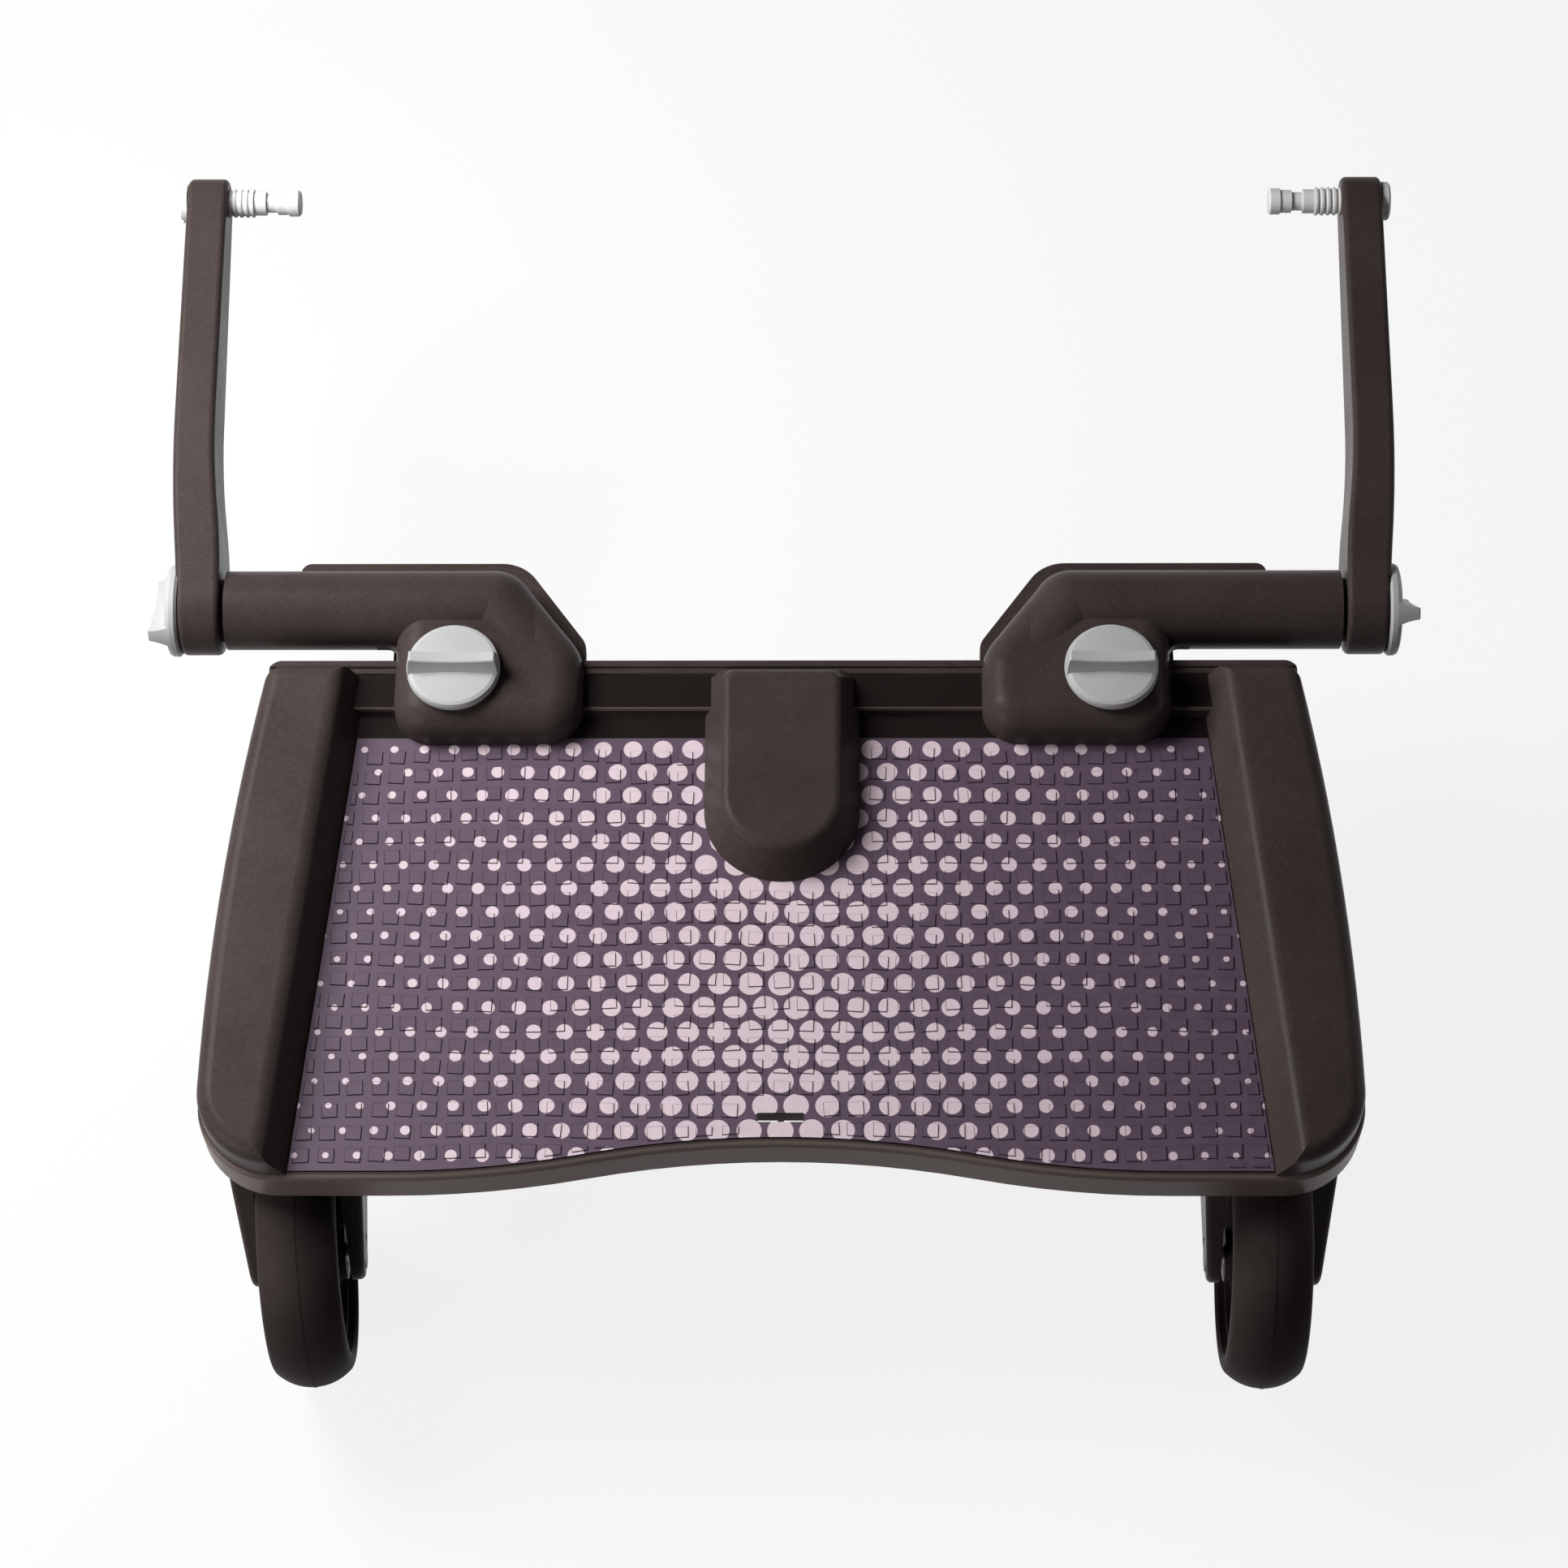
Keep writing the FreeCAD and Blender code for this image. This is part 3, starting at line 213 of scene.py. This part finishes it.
class Shader:
    """A material with one Principled shader, and short calls that add nodes to it."""

    def __init__(self, name):
        self.material = bpy.data.materials.new(name)
        self.material.use_nodes = True
        self.tree = self.material.node_tree
        self.surface = self.tree.nodes["Principled BSDF"]
        self.place = self.node("ShaderNodeTexCoord").outputs["Object"]

    def node(self, kind, **settings):
        made = self.tree.nodes.new(kind)
        for name, value in settings.items():
            setattr(made, name, value)
        return made

    def feed(self, socket, value):
        """Links a socket's value, or sets a plain one."""
        if isinstance(value, bpy.types.NodeSocket):
            self.tree.links.new(value, socket)
        else:
            socket.default_value = value

    def math(self, operation, *values):
        made = self.node("ShaderNodeMath", operation=operation)
        for socket, value in zip(made.inputs, values):
            self.feed(socket, value)
        return made.outputs[0]

    def axes_of(self, vector):
        split = self.node("ShaderNodeSeparateXYZ")
        self.feed(split.inputs[0], vector)
        return split.outputs

    def axes(self):
        return self.axes_of(self.place)

    def upward(self):
        """1 on faces that look up, 0 on walls and undersides."""
        _, _, rise = self.axes_of(self.node("ShaderNodeNewGeometry").outputs["Normal"])
        return self.spread(rise, top_none, top_full, 0.0, 1.0)

    def rearward(self):
        """1 on faces that look back, 0 on tops, undersides and fronts."""
        _, ahead, _ = self.axes_of(self.node("ShaderNodeNewGeometry").outputs["Normal"])
        return self.spread(ahead, back_full, back_none, 1.0, 0.0)

    def noise(self, waves):
        made = self.node("ShaderNodeTexNoise")
        self.feed(made.inputs["Vector"], self.place)
        for name, value in zip(("Scale", "Detail", "Roughness"), waves):
            self.feed(made.inputs[name], value)
        return made.outputs["Fac"]

    def spread(self, value, low, high, to_low, to_high, smooth=False):
        """Maps low..high to to_low..to_high, held at the ends."""
        made = self.node("ShaderNodeMapRange", interpolation_type="SMOOTHSTEP" if smooth else "LINEAR")
        for socket, entry in zip(made.inputs, (value, low, high, to_low, to_high)):
            self.feed(socket, entry)
        return made.outputs[0]

    def vary(self, noise, low, high):
        """Maps the range in which most of a noise lies to low..high."""
        return self.spread(noise, noise_low, noise_high, low, high)

    def between(self, value, low, high):
        """1 where a value lies between two limits, and 0 elsewhere."""
        above = self.math("GREATER_THAN", value, low)
        below = self.math("LESS_THAN", value, high)
        return self.math("MULTIPLY", above, below)

    def from_middle(self, cells, pitch):
        """How far a point lies from the middle of its cell."""
        return self.math("MULTIPLY", self.math("SUBTRACT", self.math("FRACT", cells), 0.5), pitch)

    def mix(self, share, first, second):
        """Between two colours, each a link or three plain values."""
        made = self.node("ShaderNodeMix", data_type="RGBA")
        self.feed(made.inputs["Factor"], share)
        for name, colour in (("A", first), ("B", second)):
            linked = isinstance(colour, bpy.types.NodeSocket)
            self.feed(made.inputs[name], colour if linked else (*colour, 1.0))
        return made.outputs["Result"]

    def shades(self, share, colour, factors):
        """Between two shades of one colour."""
        first, second = (shade(colour, factor) for factor in factors)
        return self.mix(share, first, second)

    def bump(self, height, strength, distance, under=None):
        made = self.node("ShaderNodeBump")
        self.feed(made.inputs["Height"], height)
        self.feed(made.inputs["Strength"], strength)
        self.feed(made.inputs["Distance"], distance)
        if under is not None:
            self.feed(made.inputs["Normal"], under)
        return made.outputs["Normal"]

    def set(self, **values):
        for name, value in values.items():
            self.feed(self.surface.inputs[name.replace("_", " ")], value)
        return self.material


# Finishes
def moulded_plastic(name, colour, roughness, grain_depth, mottle, sheen, polished_and_painted=False):
    """Injection-moulded plastic: spark-eroded grain, and faint clouds of gloss and tone."""
    shader = Shader(name)
    clouds = shader.noise(cloud_noise)
    specks = shader.noise(speck_noise)
    grain = shader.noise(grain_noise)
    texture = shader.math("ADD", shader.math("MULTIPLY", specks, speck_share), grain)
    tone = shader.spread(shader.math("ADD", clouds, texture), tone_low, tone_high, 0.0, 1.0)
    base = shader.shades(tone, colour, (1.0 - mottle, 1.0 + mottle))
    gloss = shader.vary(clouds, *(roughness + stray for stray in plastic_stray))
    coarse = shader.bump(specks, speck_bump, grain_depth * speck_depth)
    fine = shader.bump(grain, grain_bump, grain_depth, coarse)
    # On the deck only: painted light, painted shade and a painted highlight, besides the polish's lower
    # roughness
    if polished_and_painted:
        base, gloss = deck_polish_and_painted_light(shader, colour, base, gloss, roughness * polish_roughness)
    return shader.set(Base_Color=base, Roughness=gloss, Normal=fine, Specular_IOR_Level=sheen)


def deck_polish_and_painted_light(shader, colour, base, gloss, polished_gloss):
    """Painted light on the deck's rear rim, its polished front rail with a painted shade on the rail's tops,
    and painted light on the step behind that with a painted highlight along its upper edge.
    """
    _, along, _ = shader.axes()
    rear, front = (corner.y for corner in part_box("deck_shell"))
    # Painted light: rear-facing faces near the rear rim get a lighter colour
    rim = shader.math("MULTIPLY", shader.math("LESS_THAN", along, rear + rim_depth), shader.rearward())
    base = shader.mix(rim, base, shade(colour, rim_painted_light))
    # Painted shade: the polished band's top faces get a darker colour, besides their lower roughness
    into = shader.spread(along, front - polish_start - polish_edge, front - polish_start, 1.0, 0.0)
    out = shader.spread(along, front - polish_end - polish_edge, front - polish_end, 0.0, 1.0)
    band = shader.math("MULTIPLY", shader.math("MULTIPLY", into, out), shader.upward())
    base = shader.mix(band, base, shade(colour, polish_painted_shade))
    # Painted light on the step's face: a flat tone lighter than the band's painted shade
    step = shader.between(along, front - ledge_foot, front - ledge_end)
    base = shader.mix(step, base, shade(colour, step_painted_light))
    # Painted highlight: a light line along the step's upper edge
    ledge_highlight_mask = shader.between(along, front - ledge_end, front - ledge_start)
    base = shader.mix(ledge_highlight_mask, base, shade(colour, ledge_painted_highlight))
    return base, shader.spread(band, 0.0, 1.0, gloss, polished_gloss)


def tyre_rubber():
    """Solid rubber: duller than the plastic, with faint blooms."""
    shader = Shader("tyre_rubber")
    blooms = shader.noise(bloom_noise)
    share = shader.spread(blooms, bloom_low, noise_high, 0.0, 1.0)
    base = shader.shades(share, tyre_colour, bloom_shades)
    gloss = shader.vary(blooms, *tyre_roughness)
    fine = shader.bump(shader.noise(tyre_noise), tyre_bump, tyre_depth)
    return shader.set(Base_Color=base, Roughness=gloss, Normal=fine, Specular_IOR_Level=tyre_specular)


def halftone(shader):
    """1 inside the print's dots and 0 outside."""
    x, y, _ = shader.axes()
    row = shader.math("DIVIDE", y, dot_pitch_y)
    odd = shader.math("FLOORED_MODULO", shader.math("FLOOR", row), 2.0)
    stagger = shader.math("MULTIPLY", odd, 0.5)
    column = shader.math("ADD", shader.math("DIVIDE", x, dot_pitch_x), stagger)
    runs = (shader.from_middle(column, dot_pitch_x), shader.from_middle(row, dot_pitch_y))
    squares = [shader.math("MULTIPLY", run, run) for run in runs]
    off = shader.math("SQRT", shader.math("ADD", *squares))
    cell = shader.math("SUBTRACT", shader.math("FLOOR", column), shader.math("SUBTRACT", stagger, 0.5))
    middle = shader.math("ABSOLUTE", shader.math("MULTIPLY", cell, dot_pitch_x))
    radius = shader.spread(middle, 0.0, dot_reach, dot_most, dot_least)
    return shader.spread(shader.math("SUBTRACT", off, radius), -dot_edge, dot_edge, 1.0, 0.0, smooth=True)


def printed_mat():
    """Purple rubber with a pale halftone of dots; a painted shade darkens the tiles' flanks and the mat's
    walls.
    """
    shader = Shader("mat_rubber")
    dots = halftone(shader)
    rubbing = shader.noise(rubbing_noise)
    worn = shader.vary(rubbing, 0.0, 1.0)
    ground = shader.shades(worn, mat_colour, ground_shades)
    ink = shader.shades(worn, print_colour, ink_shades)
    printed = shader.mix(dots, ground, ink)
    flank = shader.node("ShaderNodeAttribute", attribute_name="flank").outputs["Fac"]
    # Painted shade on the tiles' flanks
    flat = shader.mix(shader.math("MULTIPLY", flank, flank_painted_share), printed, shade(mat_colour, flank_painted_shade))
    # Painted shade on faces that don't look up, such as the mat's walls
    base = shader.mix(shader.upward(), shade(mat_colour, wall_painted_shade), flat)
    gloss = shader.vary(rubbing, *mat_roughness)
    fine = shader.bump(shader.noise(mat_noise), mat_bump, mat_depth)
    return shader.set(Base_Color=base, Roughness=gloss, Normal=fine, Specular_IOR_Level=mat_specular)


def metal(name, colour, roughness):
    """Turned or plated metal, with fine tool marks."""
    shader = Shader(name)
    marks = shader.noise(mark_noise)
    base = shader.shades(marks, colour, metal_shades)
    gloss = shader.vary(marks, *(roughness + stray for stray in metal_stray))
    fine = shader.bump(marks, metal_bump, metal_depth)
    return shader.set(Base_Color=base, Metallic=1.0, Roughness=gloss, Normal=fine)


def finishes():
    """The finish of every material slot."""
    made = {"mat_rubber": printed_mat(), "tyre_rubber": tyre_rubber()}
    for slot, values in plastics.items():
        made[slot] = moulded_plastic(slot, *values)
    for slot, values in metals.items():
        made[slot] = metal(slot, *values)
    return made


def dress_nodes(materials):
    """Gives every CAD node its slot's finish, and smooth shading up to a crease angle."""
    # The deck's plastic also carries painted light, painted shade and a painted highlight
    deck = moulded_plastic("deck_plastic", *plastics["dark_plastic"], polished_and_painted=True)
    for subpart in frame["record"]["subparts"]:
        mesh = frame["nodes"][subpart["node"]].data
        finish = deck if subpart["node"] == "deck_shell" else materials[subpart["material_slot"]]
        mesh.materials.clear()
        mesh.materials.append(finish)
        mesh.shade_smooth()
        mesh.set_sharp_from_angle(angle=math.radians(smooth_angle))


# Raised tiles on the mat
def clipped(corners, origin, inward):
    """The part of a convex polygon on the inward side of a line."""
    kept = []
    for start, end in zip(corners, corners[1:] + corners[:1]):
        start_side = (start - origin).dot(inward)
        end_side = (end - origin).dot(inward)
        if start_side >= 0:
            kept.append(start)
        if start_side * end_side < 0:
            kept.append(start.lerp(end, start_side / (start_side - end_side)))
    return kept


def scoop_rise(x):
    """How far the rear edge stands forward of its ends: two tangent arcs each side of the middle."""
    run = scoop_half_width / 2
    rise = scoop_depth / 2
    radius = (run * run + rise * rise) / (2 * rise)
    away = min(abs(x), scoop_half_width)
    if away < run:
        return scoop_depth - radius + math.sqrt(radius * radius - away * away)
    return radius - math.sqrt(radius * radius - (scoop_half_width - away) ** 2)


def mat_limits():
    """The mat's box, with points and inward directions of its drawn-in front and side edges."""
    low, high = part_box("standing_mat")
    corners = [vertex.co for vertex in frame["nodes"]["standing_mat"].data.vertices]
    widest = max(corners, key=lambda corner: corner.x)
    front_x = max(corner.x for corner in corners if corner.y > high.y - mat_edge_margin)
    side = Vector((front_x - widest.x, high.y - widest.y)).normalized()
    limits = [(Vector((0.0, high.y - mat_front_margin)), Vector((0.0, -1.0)))]
    for sign in (1, -1):
        inward = Vector((-sign * side.y, side.x))
        limits.append((Vector((sign * widest.x, widest.y)) + inward * mat_edge_margin, inward))
    return low, high, limits


def keep_clear(corners, cover, slot_y):
    """Whether a tile stays off the centre cover and the strap slot."""
    low, high = cover
    half = high.x + piece_margin
    nose = Vector((0.0, low.y + high.x))
    for corner in corners:
        if abs(corner.x) < half and corner.y > nose.y:
            return False
        if (corner - nose).length < half:
            return False
        if abs(corner.x) < strap_slot_half.x and abs(corner.y - slot_y) < strap_slot_half.y:
            return False
    return True


def tile_corners(column, row, low, high, limits):
    """The corners of one tile, cut off along the mat's edges."""
    wander = tile_wander * math.sin(wander_turn[0] * column + wander_turn[1] * row)
    wave = tile_wave * math.sin(wave_turn[0] * column) * math.cos(wave_turn[1] * row)
    tilt = tile_tilt * math.sin(tilt_turn[0] * column + tilt_turn[1] * row)
    turn = Matrix.Rotation(math.radians(tilt), 2)
    centre = Vector((column * tile_pitch_x + wander, high.y - (row + tile_first_row) * tile_pitch_y + wave))
    half = Vector((tile_width / 2, tile_length / 2))
    corners = [centre + turn @ Vector((sx * half.x, sy * half.y))
               for sx, sy in ((-1, -1), (1, -1), (1, 1), (-1, 1))]
    for origin, inward in limits:
        corners = clipped(corners, origin, inward)
    rise = scoop_rise(centre.x + scoop_probe) - scoop_rise(centre.x - scoop_probe)
    inward = Vector((-rise / (2 * scoop_probe), 1.0)).normalized()
    rear = Vector((centre.x, low.y + scoop_rise(centre.x) + mat_edge_margin))
    return clipped(corners, rear, inward)


def mat_tiles(material):
    """All tiles as one piece that rides on the board."""
    low, high, limits = mat_limits()
    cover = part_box("centre_cover")
    slot_y = low.y + scoop_depth + strap_slot_inset
    columns = int(high.x / tile_pitch_x) + 2
    rows = int((high.y - low.y) / tile_pitch_y) + 2
    vertices = []
    faces = []
    flanks = []
    for row in range(rows):
        for column in range(-columns, columns + 1):
            corners = tile_corners(column, row, low, high, limits)
            if len(corners) < 3 or not keep_clear(corners, cover, slot_y):
                continue
            width = max(corner.x for corner in corners) - min(corner.x for corner in corners)
            length = max(corner.y for corner in corners) - min(corner.y for corner in corners)
            if min(width, length) < least_tile:
                continue
            add_tile(vertices, faces, flanks, corners, high.z, Vector((width, length)))
    mesh = bpy.data.meshes.new("mat_tiles")
    mesh.from_pydata(vertices, [], faces)
    shades = mesh.attributes.new("flank", "FLOAT", "FACE")
    shades.data.foreach_set("value", flanks)
    mesh.materials.append(material)
    tiles = bpy.data.objects.new("mat_tiles", mesh)
    bpy.context.scene.collection.objects.link(tiles)
    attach(tiles, "board")


def add_tile(vertices, faces, flanks, corners, floor, size):
    """One closed tile: a foot sunk into the mat, sloping flanks and a flat top."""
    middle = sum(corners, Vector((0.0, 0.0))) / len(corners)
    count = len(corners)
    start = len(vertices)
    for corner in corners:
        vertices.append((corner.x, corner.y, floor - tile_sink))
    for corner in corners:
        away = corner - middle
        top_x = middle.x + away.x * (1 - 2 * tile_slope / size.x)
        top_y = middle.y + away.y * (1 - 2 * tile_slope / size.y)
        vertices.append((top_x, top_y, floor + tile_height))
    faces.append([start + index for index in reversed(range(count))])
    faces.append([start + count + index for index in range(count)])
    flanks.extend((0.0, 0.0))
    for index in range(count):
        following = (index + 1) % count
        faces.append([start + index, start + following, start + count + following, start + count + index])
        flanks.append(1.0)


# Stage, light and camera
def stage_material():
    """Pale stage with the object's shadow, near white to camera and reflections, and dull to other light."""
    material = bpy.data.materials.new("stage")
    material.use_nodes = True
    tree = material.node_tree
    tree.nodes.clear()
    dull = tree.nodes.new("ShaderNodeBsdfDiffuse")
    dull.inputs["Color"].default_value = grey(stage_dull)
    pale = tree.nodes.new("ShaderNodeBsdfDiffuse")
    pale.inputs["Color"].default_value = grey(stage_pale)
    glow = tree.nodes.new("ShaderNodeEmission")
    shown = tree.nodes.new("ShaderNodeMixShader")
    shown.inputs["Fac"].default_value = stage_glow
    tree.links.new(pale.outputs[0], shown.inputs[1])
    tree.links.new(glow.outputs[0], shown.inputs[2])
    blend = tree.nodes.new("ShaderNodeMixShader")
    tree.links.new(seen_rays(tree), blend.inputs["Fac"])
    tree.links.new(dull.outputs[0], blend.inputs[1])
    tree.links.new(shown.outputs[0], blend.inputs[2])
    output = tree.nodes.new("ShaderNodeOutputMaterial")
    tree.links.new(blend.outputs[0], output.inputs["Surface"])
    return material


def seen_rays(tree):
    """1 for rays from the camera, a reflection or glass, and 0 for light that falls on the object."""
    path = tree.nodes.new("ShaderNodeLightPath")
    total = path.outputs["Is Camera Ray"]
    for name in ("Is Glossy Ray", "Is Transmission Ray"):
        most = tree.nodes.new("ShaderNodeMath")
        most.operation = "MAXIMUM"
        tree.links.new(total, most.inputs[0])
        tree.links.new(path.outputs[name], most.inputs[1])
        total = most.outputs[0]
    return total


def stage():
    """Round floor with a wall at its far rim."""
    rim = [Vector((math.cos(turn), math.sin(turn), 0.0)) * stage_radius
           for turn in (math.tau * step / stage_sides for step in range(stage_sides))]
    rise = Vector((0.0, 0.0, stage_wall))
    faces = [list(range(stage_sides))]
    for step in range(stage_sides):
        following = (step + 1) % stage_sides
        faces.append([step, following, stage_sides + following, stage_sides + step])
    mesh = bpy.data.meshes.new("stage")
    mesh.from_pydata(rim + [corner + rise for corner in rim], [], faces)
    mesh.materials.append(stage_material())
    backdrop = bpy.data.objects.new("stage", mesh)
    bpy.context.scene.collection.objects.link(backdrop)


def dim_world():
    world = bpy.data.worlds.new("studio")
    bpy.context.scene.world = world
    world.use_nodes = True
    background = world.node_tree.nodes["Background"]
    background.inputs["Color"].default_value = grey(1.0)
    background.inputs["Strength"].default_value = world_light


def soft_box(name, place, size, power):
    """Square area lamp at a place, aimed at the middle of the board."""
    data = bpy.data.lights.new(name, "AREA")
    data.shape = "SQUARE"
    data.size = size
    data.energy = power
    lamp = bpy.data.objects.new(name, data)
    bpy.context.scene.collection.objects.link(lamp)
    lamp.location = place
    lamp.rotation_euler = (camera_target - Vector(place)).to_track_quat("-Z", "Y").to_euler()


def photo_camera():
    azimuth = math.radians(camera_azimuth)
    elevation = math.radians(camera_elevation)
    roll = math.radians(camera_roll)
    level = Vector((math.cos(azimuth), math.sin(azimuth), 0.0))
    outward = Vector((math.sin(azimuth), -math.cos(azimuth), 0.0))
    back = outward * math.cos(elevation) + Vector((0.0, 0.0, math.sin(elevation)))
    upward = back.cross(level)
    right = level * math.cos(roll) + upward * math.sin(roll)
    up = upward * math.cos(roll) - level * math.sin(roll)
    data = bpy.data.cameras.new("photo_camera")
    data.sensor_width = sensor_width
    data.lens = focal_pixels / photo_side * sensor_width
    camera = bpy.data.objects.new("photo_camera", data)
    bpy.context.scene.collection.objects.link(camera)
    turn = Matrix((right, up, back)).transposed().to_4x4()
    camera.matrix_world = Matrix.Translation(camera_target + back * camera_distance) @ turn
    bpy.context.scene.camera = camera


materials = finishes()
dress_nodes(materials)
mat_tiles(materials["mat_rubber"])
stage()
dim_world()
for lamp_name, lamp_values in lamps.items():
    soft_box(lamp_name, *lamp_values)
photo_camera()
bpy.context.scene.view_settings.view_transform = "Standard"
